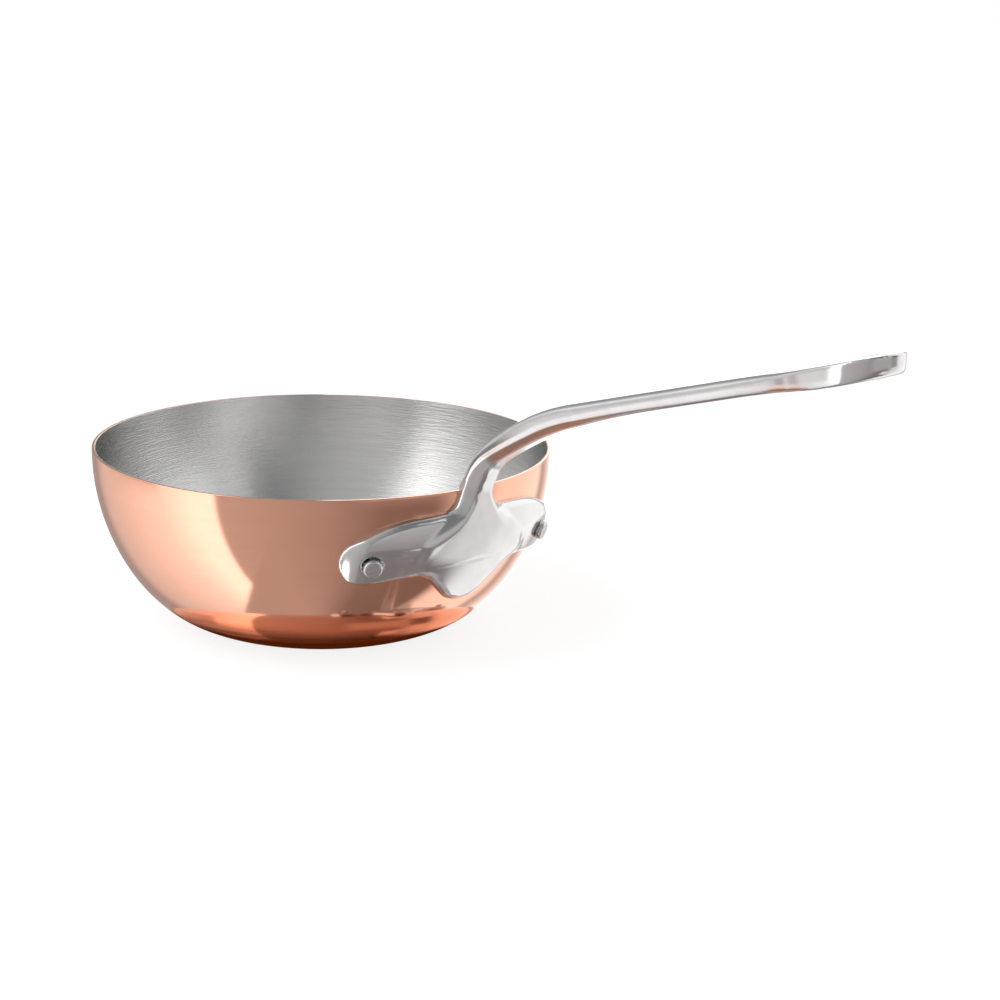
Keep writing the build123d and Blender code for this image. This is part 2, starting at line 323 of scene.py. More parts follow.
# Quarter round at the top of a wall face. side is 1 outside and -1 inside
def rimCorner(x, side, edge):
    top = bowl["height"]
    angles = [math.radians(angle) for angle in range(0, 91, bowl["cornerStep"])]
    return [(x - side * edge * (1 - math.cos(a)), top - edge * (1 - math.sin(a))) for a in angles]


# Section of one layer, from the axis under the base, up over the rim and back to the axis
def layerProfile(outerOffset, innerOffset, edge):
    outerX = bowl["rimRadius"] - outerOffset
    innerX = bowl["rimRadius"] - innerOffset
    outer = wallLine(outerOffset)[::-1]
    inner = wallLine(innerOffset)
    below = bowl["height"] - edge * (1 + bowl["guardShare"])
    over = rimCorner(outerX, 1, edge)
    back = rimCorner(innerX, -1, edge)[::-1]
    return outer + [(outerX, below)] + over + back + [(innerX, below)] + inner


def placed(name, mesh):
    piece = bpy.data.objects.new(name, mesh)
    scene.collection.objects.link(piece)
    return piece


lathe = {  # metres
    "spindle": 0.0005,  # radius of the circle that carries the profile
    "weld": 0.000005,  # points as near as this become one
}


# Sweeps a profile that is drawn in the XZ plane once round the Z axis
def sweepNodes(tree, profile, steps, spot=(0, 0)):
    place = addNode(tree, "GeometryNodeInputPosition", (spot[0] - 2, spot[1] - 1))
    parts = addNode(tree, "ShaderNodeSeparateXYZ", (spot[0] - 1, spot[1] - 1), {0: place.outputs[0]})
    out = addMath(tree, "SUBTRACT", parts.outputs[0], lathe["spindle"], (spot[0], spot[1] - 1))
    down = addMath(tree, "MULTIPLY", parts.outputs[2], -1.0, (spot[0], spot[1] - 2))
    flat = addNode(tree, "ShaderNodeCombineXYZ", (spot[0] + 1, spot[1] - 1), {0: out, 1: down})
    laid = addNode(tree, "GeometryNodeSetPosition", (spot[0] + 1, spot[1]), {
        "Geometry": profile, "Position": flat.outputs[0]})
    line = addNode(tree, "GeometryNodeMeshToCurve", (spot[0] + 2, spot[1]), {0: laid.outputs[0]})
    circle = addNode(tree, "GeometryNodeCurvePrimitiveCircle", (spot[0] + 2, spot[1] + 1), {
        "Resolution": steps, "Radius": lathe["spindle"]})
    skin = addNode(tree, "GeometryNodeCurveToMesh", (spot[0] + 3, spot[1]), {
        "Curve": circle.outputs["Curve"], "Profile Curve": line.outputs[0]})
    closed = addNode(tree, "GeometryNodeMergeByDistance", (spot[0] + 4, spot[1]), {
        "Geometry": skin.outputs[0], "Distance": lathe["weld"]})
    smooth = addNode(tree, "GeometryNodeSetShadeSmooth", (spot[0] + 5, spot[1]), {
        "Geometry": closed.outputs[0]})
    return smooth.outputs[0]


# Last nodes of a tree: real geometry in its finish
def endTree(tree, given, result, geometry, column):
    real = addNode(tree, "GeometryNodeRealizeInstances", (column, 0), {0: geometry})
    coated = addNode(tree, "GeometryNodeSetMaterial", (column + 1, 0), {
        "Geometry": real.outputs[0], "Material": given.outputs["Finish"]})
    tree.links.new(coated.outputs[0], result.inputs[0])


def revolvedTree():
    tree, given, result = newGroup(
        "revolvedWall", "GeometryNodeTree",
        [("Profile", "NodeSocketGeometry", None), ("Steps around", "NodeSocketInt", 96),
         ("Finish", "NodeSocketMaterial", None)],
        [("Geometry", "NodeSocketGeometry")],
    )
    wall = sweepNodes(tree, given.outputs["Profile"], given.outputs["Steps around"])
    endTree(tree, given, result, wall, 6)
    return tree


# The line that a lathe tree turns, from points x, z
def profileMesh(name, outline):
    mesh = bpy.data.meshes.new(name)
    points = [Vector((x, 0, z)) * mm for x, z in outline]
    mesh.from_pydata(points, [(i, i + 1) for i in range(len(points) - 1)], [])
    mesh.update()
    return mesh


# Runs a node tree on a source mesh and keeps the plain mesh that comes out
def grown(name, source, tree, values):
    piece = placed(name, source)
    modifier = piece.modifiers.new(tree.name, "NODES")
    modifier.node_group = tree
    for item in tree.interface.items_tree:
        if item.in_out == "INPUT" and item.name in values:
            modifier[item.identifier] = values[item.name]
    piece.update_tag()
    evaluated = piece.evaluated_get(bpy.context.evaluated_depsgraph_get())
    mesh = bpy.data.meshes.new_from_object(evaluated)
    piece.modifiers.clear()
    mesh.name = name
    piece.data = mesh
    return piece


revolved = revolvedTree()


def makeLayer(name, outerOffset, innerOffset, edge, material):
    profile = profileMesh(name + "Profile", layerProfile(outerOffset, innerOffset, edge))
    return grown(name, profile, revolved, {
        "Steps around": bowl["stepsAround"], "Finish": materials[material]})


wall = bowl["copperWall"]
copperBowl = makeLayer("copper_bowl", 0, wall, bowl["rimEdge"], "copper")
steelLiner = makeLayer("steel_liner", wall, wall + bowl["liningWall"], bowl["liningEdge"], "liningSteel")
print("bowl and lining turned:", len(copperBowl.data.polygons) + len(steelLiner.data.polygons), "faces")


# Rivets: domed head inside the bowl, shank through the wall, bevelled tail on the bracket

rivet = {
    "depth": 26.3,  # below the rim
    "turn": 26.7,  # to each side of the handle
    "shankRadius": 3.5,
    "tailRadius": 3.9,
    "tailHeight": 2.9,
    "tailBevel": 0.9,
    "guardShare": 1.5,  # of the bevel, from the tail's side to a loop on its flat end
    "headRadius": 6.0,
    "headHeight": 2.2,
    "seatRadius": 4.7,
    "seatDepth": 0.8,
    "boreClearance": 0.1,
    "plateThickness": 5.2,
    "domeSteps": 10,
    "bevelSteps": 5,
    "stepsAround": 48,
}


# Section from the crown of the head, down the shank, to the middle of the tail
def rivetProfile():
    wall = bowl["copperWall"] + bowl["liningWall"]
    wall += rivet["headRadius"] ** 2 / (2 * (wallRadii()[0] - wall))  # it bends in under the head's edge
    seat = rivet["plateThickness"] - rivet["seatDepth"]
    top = seat + rivet["tailHeight"]
    radius, height = rivet["headRadius"], rivet["headHeight"]
    dome = (radius ** 2 + height ** 2) / (2 * height)
    span = math.asin(radius / dome)
    points = []
    for step in range(rivet["domeSteps"] + 1):
        angle = span * step / rivet["domeSteps"]
        points.append((dome * math.sin(angle), -wall - height + dome * (1 - math.cos(angle))))
    points.append((rivet["shankRadius"], -wall))
    points.append((rivet["shankRadius"], seat))
    points.append((rivet["tailRadius"], seat))
    bevel = rivet["tailBevel"]
    for step in range(rivet["bevelSteps"] + 1):
        angle = math.pi / 2 * step / rivet["bevelSteps"]
        points.append((
            rivet["tailRadius"] - bevel * (1 - math.cos(angle)), top - bevel * (1 - math.sin(angle))))
    points.append((rivet["tailRadius"] - rivet["guardShare"] * bevel, top))
    points.append((0, top))
    return points


def rivetTree():
    tree, given, result = newGroup(
        "rivetPair", "GeometryNodeTree",
        [("Profile", "NodeSocketGeometry", None), ("Steps around", "NodeSocketInt", 32),
         ("Seat", "NodeSocketVector", None), ("Tilt", "NodeSocketFloat", 0.0),
         ("Turn", "NodeSocketFloat", 0.0), ("Finish", "NodeSocketMaterial", None)],
        [("Geometry", "NodeSocketGeometry")],
    )
    body = sweepNodes(tree, given.outputs["Profile"], given.outputs["Steps around"])
    tilt = addNode(tree, "ShaderNodeCombineXYZ", (6, -1), {1: given.outputs["Tilt"]})
    seated = addNode(tree, "GeometryNodeTransform", (7, 0), {
        "Geometry": body, "Translation": given.outputs["Seat"], "Rotation": tilt.outputs[0]})
    # one to each side of the handle
    pair = addNode(tree, "GeometryNodePoints", (7, 1), {"Count": 2})
    index = addNode(tree, "GeometryNodeInputIndex", (5, -2))
    double = addMath(tree, "MULTIPLY", index.outputs[0], 2.0, (6, -2))
    side = addMath(tree, "SUBTRACT", double, 1.0, (7, -2))
    angle = addMath(tree, "MULTIPLY", side, given.outputs["Turn"], (8, -2))
    swing = addNode(tree, "ShaderNodeCombineXYZ", (9, -2), {2: angle})
    both = addNode(tree, "GeometryNodeInstanceOnPoints", (10, 0), {
        "Points": pair.outputs[0], "Instance": seated.outputs[0], "Rotation": swing.outputs[0]})
    endTree(tree, given, result, both.outputs[0], 11)
    return tree


def makeRivets():
    x, z, angle = wallSpot(rivet["depth"])
    return grown("rivets", profileMesh("rivetProfile", rivetProfile()), rivetTree(), {
        "Steps around": rivet["stepsAround"], "Seat": Vector((x, 0, z)) * mm,
        "Tilt": math.radians(180 - angle), "Turn": math.radians(rivet["turn"]),
        "Finish": materials["rivetSteel"]})


rivets = makeRivets()
print("rivets set:", len(rivets.data.polygons), "faces")


# Handle: a field that is negative inside the metal, turned into a skin of quads.
# Bracket plate, shield, neck and grip melt into each other as they do in the casting.

plate = {
    "lugRadius": 9.8,
    "lugShift": 2.8,
    "ridgeThickness": 5.2,
    "topThickness": 2.6,
    "lowThickness": 2.8,
    "crestDepth": 7.6,  # where the top edge of the arms is thinnest
    "ridgeDepth": 20.0,
    "lowDepth": 53.4,
    "armSlope": 33.0,
    "armTopRise": 16.8,
    "armBottomSlope": 7.0,
    "armBottomDrop": 8.0,
    "innerEnd": 55.0,
    "tongueDepth": 48.4,
    "tongueRadius": 15.0,
    "tongueCoveRadius": 11.0,
    "tongueSlope": 45.0,
    "armEdge": (2.4, 1.8),  # width and height of the rounding along the arms
    "tongueEdge": (5.0, 3.0),
    "lugSlope": 0.7,  # of the lug's end, which is ground down past two lines through one point
    "lugSlopePoint": (-7.0, 2.6),
    "lugSlopeWays": ((-0.845, 0.536), (-0.995, 0.10)),
    "lugSlopeMelt": 2.0,
    "lugEnd": 1.4,  # what is left of the thickness
    "lugEndMelt": 0.8,
    "edgeMelt": 0.4,  # between the crowned face and the outline
    "apronMelt": 3.0,  # between the tongue and the shield's sides
    "tongueMelt": 1.5,  # between the arms and the tongue
    "roundFrom": (18.0, 26.0),  # depths where the lower rounding takes hold of the shield
    "coves": (4.0, 7.0),  # melt between the spine and the plate, near the rim and lower down
    "coveDepths": (8.0, 20.0),
    "coveEdge": 1.6,
    "edgeShare": 0.7,  # most of the thickness that a rounding takes
    "farEnd": 125.0,  # the bracket lies nearer to the axis than this
    "sunk": 0.7,  # into the copper wall, so that no light gets behind it
    "sunkFrom": (74.5, 77.0),  # heights where that fades out
    "arcSteps": 12,  # points on each curve of an outline
    "lugSteps": 48,
    "armTable": ((-25.0, -20.0), (50.0, 30.0)),  # corners of the tables of distance to an outline
    "tongueTable": ((-45.0, -22.0), (45.0, 14.0)),
    "tableStep": 0.2,
}

shield = {
    "thickness": 5.8,
    "footThickness": 5.3,
    "footDepth": 33.5,
    "halfWidth": 25.0,
    "faceRadius": 125.0,
    "footFaceRadius": 105.0,
    "apronThickness": 4.3,  # of the face where it has run on down the tongue
    "bevel": 1.1,
    "flareBevel": 4.2,
    "sunk": 5.0,  # how far it runs on into the bowl before that is cut away
    # depth, half-width, and shares of the foot and of the flare
    "shares": (
        (1.0, 0.9, 1.0, 0.0), (0.86, 0.97, 0.45, 0.0), (0.68, 0.915, 0.1, 0.2),
        (0.49, 0.72, 0.0, 0.6), (0.29, 0.5, 0.0, 0.9), (0.1, 0.355, 0.0, 1.0),
    ),
}

bar = {
    "reach": 303.0,
    "startAngle": 80.0,
    "midAngle": 39.5,
    "backRadius": 37.0,
    "sweepRadius": 123.0,
    "gripAngle": 16.25,
    # root, belly, grip and paddle
    "halfWidth": (8.4, 7.6, 7.3, 16.0),
    "thickness": (7.2, 10.3, 7.8, 10.0),
    "crown": (1.4, 2.8, 3.0, 1.3),
    "bevel": (4.2, 3.4, 2.0, 1.0),
    "underTaper": 2.6,  # the paddle's under face rises towards the tip
    "taperFrom": 0.8,
    "underBow": 0.3,
    "crownPower": 2.43,
    # place along the bar, and shares of root, belly and paddle
    "shares": (
        (0.03, 1.0, 0.1, 0.0), (0.065, 0.85, 0.2, 0.0), (0.105, 0.5, 0.5, 0.0), (0.15, 0.2, 0.85, 0.0),
        (0.2, 0.0, 1.0, 0.0), (0.26, 0.0, 1.0, 0.0), (0.33, 0.0, 0.78, 0.0), (0.41, 0.0, 0.3, 0.0),
        (0.49, 0.0, 0.05, 0.0), (0.57, 0.0, 0.0, 0.0), (0.65, 0.0, 0.0, 0.0), (0.72, 0.0, 0.0, 0.02),
        (0.78, 0.0, 0.0, 0.17), (0.83, 0.0, 0.0, 0.5), (0.88, 0.0, 0.0, 0.84), (0.93, 0.0, 0.0, 0.99),
        (1.05, 0.0, 0.0, 0.99),
    ),
    "joinSpan": 9.0,  # to each side of the rim, where the wall's line becomes the neck's
    "joinDepth": 12.0,  # below this the wall's line is alone
    "joinMelt": 1.2,
    "tipLength": 18.0,
    "holeLength": 18.0,
    "holeWidth": 8.0,
    "holeInset": 7.0,
    "edge": 1.1,  # how far the cast edges are rounded
    "holeEdge": 1.0,
    "holeFrom": 200.0,  # it lies further from the axis than this
}

skin = {
    "low": (66.0, -60.0, 20.0),  # corner of the grid
    "size": (240.0, 120.0, 150.0),
    "step": 0.6,
    "coarse": 5,  # steps from one rough sample to the next
    "band": 6.0,  # nearer to the surface than this, the field is worked out at every node
    "plain": 10.0,  # stands for the field elsewhere
    "batches": 12,
    "rounds": 4,  # of drawing the vertices onto the surface
    "probe": 0.05,
    "limit": 0.25,  # furthest that a vertex moves in a round
    "leastSlope": 0.25,  # squared
}


def smoothMax(a, b, width):
    meet = np.clip(width - np.abs(a - b), 0, None) / width
    return np.maximum(a, b) + meet * meet * width / 4


def smoothMin(a, b, width):
    return -smoothMax(-a, -b, width)


def smoothStep(low, high, value):
    share = np.clip((value - low) / (high - low), 0, 1)
    return share * share * (3 - 2 * share)


# Offset from the bowl's outer line and way along it, up from the rim, for points of a meridian
def wallCoordinates(across, height):
    offset = across - bowl["rimRadius"]
    way = height - bowl["height"]
    depth = -way
    start = -rimLand()
    for cx, cz, radius, high, low in wallArcs():
        angle = np.degrees(np.arctan2(across - cx, cz - height))
        here = (height < bowl["height"] - rimLand()) & (angle <= high + 0.001)
        offset = np.where(here, np.hypot(across - cx, height - cz) - radius, offset)
        way = np.where(here, start - radius * np.radians(high - angle), way)
        depth = np.where(here, bowl["height"] - cz + radius * np.cos(np.radians(angle)), depth)
        start -= radius * math.radians(high - low)
    return offset, way, depth


# Way along the wall of the point at a depth below the rim
def wayDown(depth):
    x, z, _ = wallSpot(depth)
    return float(wallCoordinates(np.array([x]), np.array([z]))[1][0])


# Start x, z, heading, centre and radius of the two arcs of the back line, and of the straight grip
def neckLine():
    pieces = []
    x, z, heading = bowl["rimRadius"], bowl["height"], bar["startAngle"]
    bends = ((bar["backRadius"], bar["midAngle"]), (bar["sweepRadius"], bar["gripAngle"]))
    for radius, nextHeading in bends:
        side = math.radians(heading - 90)
        cx, cz = x + radius * math.cos(side), z + radius * math.sin(side)
        pieces.append((x, z, heading, cx, cz, radius, nextHeading))
        side = math.radians(nextHeading - 90)
        x, z, heading = cx - radius * math.cos(side), cz - radius * math.sin(side), nextHeading
    pieces.append((x, z, heading))
    return pieces


# Distance into the metal from the back line, and way along it from the rim
def neckCoordinates(x, z):
    steep, sweep, straight = neckLine()
    lean = math.radians(bar["startAngle"])
    dx, dz = x - bowl["rimRadius"], z - bowl["height"]
    way = dx * math.cos(lean) + dz * math.sin(lean)
    inward = dx * math.sin(lean) - dz * math.cos(lean)
    start = 0.0
    for sx, sz, heading, cx, cz, radius, nextHeading in (steep, sweep):
        turn = (heading + 270 - np.degrees(np.arctan2(z - cz, x - cx))) % 360 - 180
        beyond = turn > 0
        way = np.where(beyond, start + radius * np.radians(turn), way)
        inward = np.where(beyond, radius - np.hypot(x - cx, z - cz), inward)
        start += radius * math.radians(heading - nextHeading)
    sx, sz, heading = straight
    lean = math.radians(heading)
    along = (x - sx) * math.cos(lean) + (z - sz) * math.sin(lean)
    way = np.where(along > 0, start + along, way)
    inward = np.where(along > 0, (x - sx) * math.sin(lean) - (z - sz) * math.cos(lean), inward)
    return inward, way


def barLength():
    steep, sweep, straight = neckLine()
    bends = sum(p[5] * math.radians(p[2] - p[6]) for p in (steep, sweep))
    return bends + (bar["reach"] - straight[0]) / math.cos(math.radians(bar["gripAngle"]))


def mixed(key, shares):
    root, belly, grip, paddle = bar[key]
    return grip + shares[0] * (root - grip) + shares[1] * (belly - grip) + shares[2] * (paddle - grip)


# Way along the spine, half-width, thickness, crown, bevel, bow and start of the metal
def spineStations():
    stations = []
    for depthShare, widthShare, footShare, flareShare in shield["shares"]:
        bevel = shield["bevel"] + flareShare * (shield["flareBevel"] - shield["bevel"])
        width = widthShare * shield["halfWidth"]
        thick = shield["thickness"] + footShare * (shield["footThickness"] - shield["thickness"])
        face = shield["faceRadius"] + footShare * (shield["footFaceRadius"] - shield["faceRadius"])
        bow = (width - bevel) ** 2 / (2 * face)
        way = wayDown(depthShare * shield["footDepth"])
        stations.append((way, width, thick, shield["sunk"] / 2, bevel, bow, -shield["sunk"]))
    apron = list(stations[0])
    apron[0], apron[2] = wayDown(plate["lowDepth"]), shield["apronThickness"]
    length = barLength()
    for place, *shares in bar["shares"]:
        width, thick, crown, bevel = [
            mixed(key, shares) for key in ("halfWidth", "thickness", "crown", "bevel")]
        tapered = max(place - bar["taperFrom"], 0) * length * math.tan(math.radians(bar["underTaper"]))
        stations.append((place * length, width, thick - tapered, crown, bevel, bar["underBow"], 0.0))
    return np.array([apron] + stations)


# Smooth curve through uneven stations
def curveThrough(places, values, where):
    steps = np.diff(places)
    slopes = np.diff(values, axis=0) / steps[:, None]
    inner = slopes[:-1] * steps[1:, None] + slopes[1:] * steps[:-1, None]
    inner /= (steps[1:] + steps[:-1])[:, None]
    tangents = np.vstack([slopes[:1], inner, slopes[-1:]])
    where = np.clip(where, places[0], places[-1])
    i = np.clip(np.searchsorted(places, where, side="right") - 1, 0, len(places) - 2)
    step = steps[i][:, None]
    t = ((where - places[i])[:, None]) / step
    low, high = values[i], values[i + 1]
    return (
        low * (1 + 2 * t) * (1 - t) ** 2 + tangents[i] * step * t * (1 - t) ** 2
        + high * t * t * (3 - 2 * t) - tangents[i + 1] * step * t * t * (1 - t)
    )


stations = spineStations()
footWay = wayDown(shield["footDepth"])


# Shield, neck and grip, where y is zero or more, and its sides, face and half-width
def spineField(x, y, z):
    offset, wallWay, _ = wallCoordinates(x, z)
    inward, neckWay = neckCoordinates(x, z)
    middle = (wallWay + neckWay) / 2
    way = wallWay + smoothStep(-bar["joinSpan"], bar["joinSpan"], middle) * (neckWay - wallWay)
    deep = np.where(middle < -bar["joinDepth"], offset, smoothMin(offset, inward, bar["joinMelt"]))
    sizes = curveThrough(stations[:, 0], stations[:, 1:], way)
    width, thick, crown, bevel, bow, start = sizes.T
    centre = bar["reach"] - bar["tipLength"]
    ahead = np.clip(x - centre, 0, None) / bar["tipLength"]
    tip = (np.hypot(ahead, y / width) - 1) * bar["tipLength"]
    y = np.where(x > centre, np.maximum(y, tip + width), y)  # the round end is one more side
    power = bar["crownPower"]
    out = np.clip(y / width, 0.0001, None)
    lift = np.clip((start + crown - deep) / crown, 0, None)
    level = (out ** power + lift ** power) ** (1 / power)
    slopeOut = (out / level) ** (power - 1) / width
    slopeUp = (lift / level) ** (power - 1) / crown
    rounded = (level - 1) / np.hypot(slopeOut, slopeUp)
    face = deep - thick + bow * (y / (width - bevel)) ** 2
    slope = (y - width + deep - (thick - bow - bevel)) / math.sqrt(2)
    sides = smoothMax(rounded, slope, bar["edge"])
    body = smoothMax(sides, face, bar["edge"])
    return smoothMax(body, footWay - way, bar["edge"]), sides, face, width


def armOutline():
    centre = np.array((-plate["lugShift"], 0.0))

    def onLug(angle):
        a = math.radians(angle)
        return centre + plate["lugRadius"] * np.array((math.cos(a), math.sin(a)))

    slope = math.radians(plate["armSlope"])
    leave = onLug(plate["armSlope"] + 90)
    radius = (plate["armTopRise"] - leave[1]) / (1 - math.cos(slope))
    points = []
    for step in range(plate["arcSteps"] + 1):
        turn = slope * step / plate["arcSteps"]
        points.append(leave + radius * np.array((
            math.sin(slope) - math.sin(slope - turn), math.cos(slope - turn) - math.cos(slope))))
    points.append(np.array((plate["innerEnd"], plate["armTopRise"])))
    points.append(np.array((plate["innerEnd"], -plate["armBottomDrop"])))
    low = onLug(plate["armBottomSlope"] - 90)
    run = (-plate["armBottomDrop"] - low[1]) / math.tan(math.radians(plate["armBottomSlope"]))
    points.append(np.array((low[0] + run, -plate["armBottomDrop"])))
    span = plate["armBottomSlope"] - 90 - (plate["armSlope"] + 90 - 360)
    for step in range(plate["lugSteps"]):
        points.append(onLug(plate["armBottomSlope"] - 90 - span * step / plate["lugSteps"]))
    return np.array(points)


# Outline of the tongue on its plane, whose origin lies at the level of the arms' lower edge
def tongueOutline(foot):
    slope = math.radians(plate["tongueSlope"])
    radius, cove = plate["tongueRadius"], plate["tongueCoveRadius"]
    point = foot - radius * (1 / math.cos(slope) - 1)
    half = -point / math.tan(slope)
    reach = cove * math.tan(slope / 2)
    turns = [slope * step / plate["arcSteps"] for step in range(plate["arcSteps"] + 1)]
    right = [(radius * math.sin(turn), foot + radius * (1 - math.cos(turn))) for turn in turns]
    for turn in turns[::-1]:
        right.append((half + reach - cove * math.sin(turn), -cove * (1 - math.cos(turn))))
    right.append((half + cove, 0.0))
    right.append((half + cove, plate["lugRadius"]))
    return np.array(right + [(-x, y) for x, y in right[::-1]][:-1])


# Signed distance to an outline, negative inside, at the nodes of a grid
def outlineTable(outline, low, high):
    step = plate["tableStep"]
    xs, ys = np.arange(low[0], high[0], step), np.arange(low[1], high[1], step)
    px, py = [a.ravel() for a in np.meshgrid(xs, ys, indexing="ij")]
    best = np.full(px.shape, 1e9)
    inside = np.zeros(px.shape, bool)
    for (ax, ay), (bx, by) in zip(outline, np.roll(outline, -1, axis=0)):
        ex, ey = bx - ax, by - ay
        share = np.clip(((px - ax) * ex + (py - ay) * ey) / (ex * ex + ey * ey), 0, 1)
        best = np.minimum(best, np.hypot(px - ax - share * ex, py - ay - share * ey))
        if ay != by:
            crosses = ((ay > py) != (by > py)) & (px < ax + (py - ay) / ey * ex)
            inside ^= crosses
    signed = np.where(inside, -best, best).reshape(len(xs), len(ys))
    return np.array(low), signed


def readTable(table, u, v):
    low, values = table
    a = np.clip((u - low[0]) / plate["tableStep"], 0, values.shape[0] - 1.001)
    b = np.clip((v - low[1]) / plate["tableStep"], 0, values.shape[1] - 1.001)
    i, j = a.astype(int), b.astype(int)
    s, t = a - i, b - j
    return (
        values[i, j] * (1 - s) * (1 - t) + values[i + 1, j] * s * (1 - t)
        + values[i, j + 1] * (1 - s) * t + values[i + 1, j + 1] * s * t
    )


def circleThrough(a, b, c):
    (ax, az), (bx, bz), (cx, cz) = a[:2], b[:2], c[:2]
    double = 2 * (ax * (bz - cz) + bx * (cz - az) + cx * (az - bz))
    x = ((ax**2 + az**2) * (bz - cz) + (bx**2 + bz**2) * (cz - az) + (cx**2 + cz**2) * (az - bz)) / double
    z = ((ax**2 + az**2) * (cx - bx) + (bx**2 + bz**2) * (ax - cx) + (cx**2 + cz**2) * (bx - ax)) / double
    return x, z, math.hypot(ax - x, az - z)


rivetX, rivetZ, rivetAngle = wallSpot(rivet["depth"])
tongueX, tongueZ, tongueAngle = wallSpot(rivet["depth"] + plate["armBottomDrop"])


# Across, up and out on the plane that touches the wall at a point
def onPlane(x, y, z, originX, originZ, angle):
    a = math.radians(angle)
    dx, dz = x - originX, z - originZ
    return y, dx * math.cos(a) + dz * math.sin(a), dx * math.sin(a) - dz * math.cos(a)


footX, footZ, _ = wallSpot(plate["tongueDepth"])
tongueFoot = onPlane(footX, 0.0, footZ, tongueX, tongueZ, tongueAngle)[1]
armTable = outlineTable(armOutline(), *plate["armTable"])
tongueTable = outlineTable(tongueOutline(tongueFoot), *plate["tongueTable"])
ridge, thin, low = plate["ridgeThickness"], plate["topThickness"], plate["lowThickness"]
upperCrown = circleThrough(
    wallSpot(0, thin / 2), wallSpot((plate["crestDepth"] + plate["ridgeDepth"]) / 2, (thin + ridge) / 2),
    wallSpot(plate["ridgeDepth"], ridge))
lowerCrown = circleThrough(
    wallSpot(plate["ridgeDepth"], ridge),
    wallSpot((plate["ridgeDepth"] + plate["lowDepth"]) / 2, (ridge + low) / 2),
    wallSpot(plate["lowDepth"], low))


# Across, up and out from the rivet beyond the handle's side of positive y
def rivetCoordinates(x, y, z):
    a = math.radians(rivet["turn"])
    ahead = x * math.cos(a) + y * math.sin(a)
    aside = x * math.sin(a) - y * math.cos(a)  # towards the neck
    return onPlane(ahead, aside, z, rivetX, rivetZ, rivetAngle)


def edgeDrop(inside, edge, thickness):
    width, height = edge
    share = np.clip(1 - np.clip(inside, 0, None) / width, 0, 1)
    return np.minimum(height, plate["edgeShare"] * thickness) * (1 - np.sqrt(1 - share * share))


# How far a point lies past the two lines where the lug's end is ground down
def lugGround(aside, up):
    cornerAside, cornerUp = plate["lugSlopePoint"]
    first, second = [
        (aside - cornerAside) * wayAside + (up - cornerUp) * wayUp
        for wayAside, wayUp in plate["lugSlopeWays"]]
    past = smoothMax(first, second, plate["lugSlopeMelt"])
    return smoothMax(past, 0 * past, plate["lugSlopeMelt"])


# Arms, lugs and tongue, crowned over the wall and rounded down towards their outline,
# and the shield's face run on down the tongue
def plateField(x, y, z, face, width):
    across = np.hypot(x, y)
    offset, _, depth = wallCoordinates(across, z)
    above = depth < plate["ridgeDepth"]
    crown = np.where(
        above, np.hypot(across - upperCrown[0], z - upperCrown[1]) - upperCrown[2],
        np.hypot(across - lowerCrown[0], z - lowerCrown[1]) - lowerCrown[2])
    aside, up, _ = rivetCoordinates(x, y, z)
    arm = readTable(armTable, aside, up)
    tongueAside, tongueUp, _ = onPlane(x, y, z, tongueX, tongueZ, tongueAngle)
    tongue = readTable(tongueTable, tongueAside, tongueUp)
    thickness = np.clip(offset - crown, 0, None)
    ground = lugGround(aside, up)
    steep = smoothMin(ground * plate["lugSlope"], thickness - plate["lugEnd"], plate["lugEndMelt"])
    armDrop = np.maximum(edgeDrop(-arm, plate["armEdge"], thickness), steep)
    armBody = smoothMax(arm, crown + armDrop, plate["edgeMelt"])
    drop = edgeDrop(-tongue, plate["tongueEdge"], thickness)
    tongueBody = smoothMax(tongue, crown + drop, plate["edgeMelt"])
    apron = smoothMax(smoothMax(tongue, y - width, plate["apronMelt"]), face + drop, plate["edgeMelt"])
    lowDrop = edgeDrop(-np.minimum(arm, tongue), plate["tongueEdge"], thickness)
    trim = face + lowDrop * smoothStep(*plate["roundFrom"], depth)
    outline = np.where(up < 0, np.minimum(arm, tongue), -plate["lugRadius"])
    neckCove, tongueCove = plate["coves"]
    cove = neckCove + (tongueCove - neckCove) * smoothStep(*plate["coveDepths"], depth)
    return smoothMin(armBody, tongueBody, plate["tongueMelt"]), apron, trim, outline, cove


# Recessed seat and bore of a rivet
def rivetPocket(x, y, z):
    aside, up, out = rivetCoordinates(x, y, z)
    fromAxis = np.hypot(aside, up)
    seat = np.maximum(fromAxis - rivet["seatRadius"], rivet["plateThickness"] - rivet["seatDepth"] - out)
    return np.minimum(seat, fromAxis - rivet["shankRadius"] - rivet["boreClearance"])


# Slot through the paddle, to hang the pan by
def hangingSlot(x, y, z):
    _, way = neckCoordinates(x, z)
    half = (bar["holeLength"] - bar["holeWidth"]) / 2
    middle = barLength() - bar["holeInset"] - bar["holeLength"] / 2
    return np.hypot(np.clip(np.abs(way - middle) - half, 0, None), y) - bar["holeWidth"] / 2


